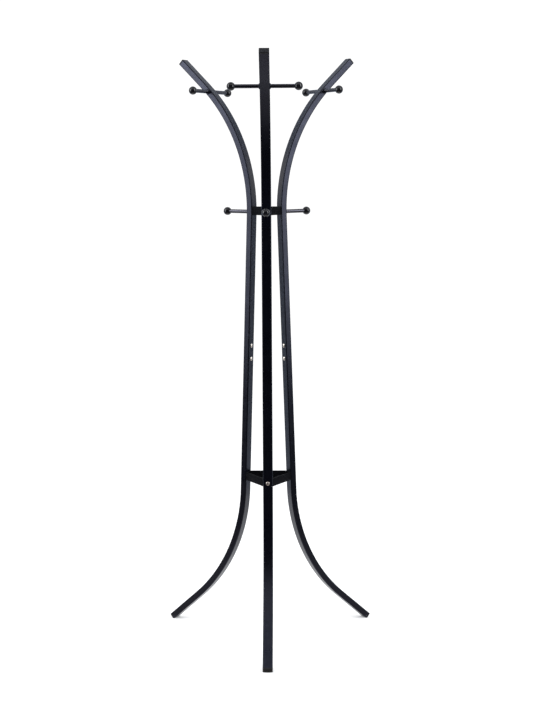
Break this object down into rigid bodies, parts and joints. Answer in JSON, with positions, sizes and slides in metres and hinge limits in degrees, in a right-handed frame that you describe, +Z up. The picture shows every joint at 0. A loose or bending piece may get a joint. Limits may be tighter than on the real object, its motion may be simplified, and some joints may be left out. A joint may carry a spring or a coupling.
{
  "type": "coat stand",
  "caption": "Tripod coat stand of curved black steel tube with ball-ended crossbars near the leg tops, ball-ended hooks at a central hub and a lower hub, bolted together.",
  "frame": {"origin": "on the floor, on the stand's own vertical axis, midway between the three feet", "axes": "+Z up along the stand's axis; -Y towards the front leg; +X towards the right leg's side"},
  "size_m": [0.6552, 0.5675, 1.8],
  "materials": {
    "powder_coat": "satin black powder coat with a fine texture",
    "hub_matt": "matt black powder coat",
    "bar_coat": "semi-gloss black powder coat",
    "sleeve_steel": "bare oiled steel, hidden inside the legs",
    "ball_gloss": "polished black",
    "cap_plastic": "black moulded plastic with a fine grain",
    "screw_zinc": "zinc plated, slightly warm"
  },
  "bodies": {
    "root": {"front_upper_leg": "powder_coat", "front_lower_leg": "powder_coat", "front_joint_sleeve": "sleeve_steel", "front_top_cap": "cap_plastic", "front_foot_cap": "cap_plastic", "front_hook": "bar_coat", "front_hook_ball": "ball_gloss", "front_crossbar": "bar_coat", "front_crossbar_ball_1": "ball_gloss", "front_crossbar_ball_2": "ball_gloss", "right_upper_leg": "powder_coat", "right_lower_leg": "powder_coat", "right_joint_sleeve": "sleeve_steel", "right_top_cap": "cap_plastic", "right_foot_cap": "cap_plastic", "right_hook": "bar_coat", "right_hook_ball": "ball_gloss", "right_crossbar": "bar_coat", "right_crossbar_ball_1": "ball_gloss", "right_crossbar_ball_2": "ball_gloss", "left_upper_leg": "powder_coat", "left_lower_leg": "powder_coat", "left_joint_sleeve": "sleeve_steel", "left_top_cap": "cap_plastic", "left_foot_cap": "cap_plastic", "left_hook": "bar_coat", "left_hook_ball": "ball_gloss", "left_crossbar": "bar_coat", "left_crossbar_ball_1": "ball_gloss", "left_crossbar_ball_2": "ball_gloss", "mid_hub": "hub_matt", "lower_hub": "hub_matt", "joint_screws": "screw_zinc", "lower_hub_screws": "screw_zinc"}
  },
  "joints": []
}
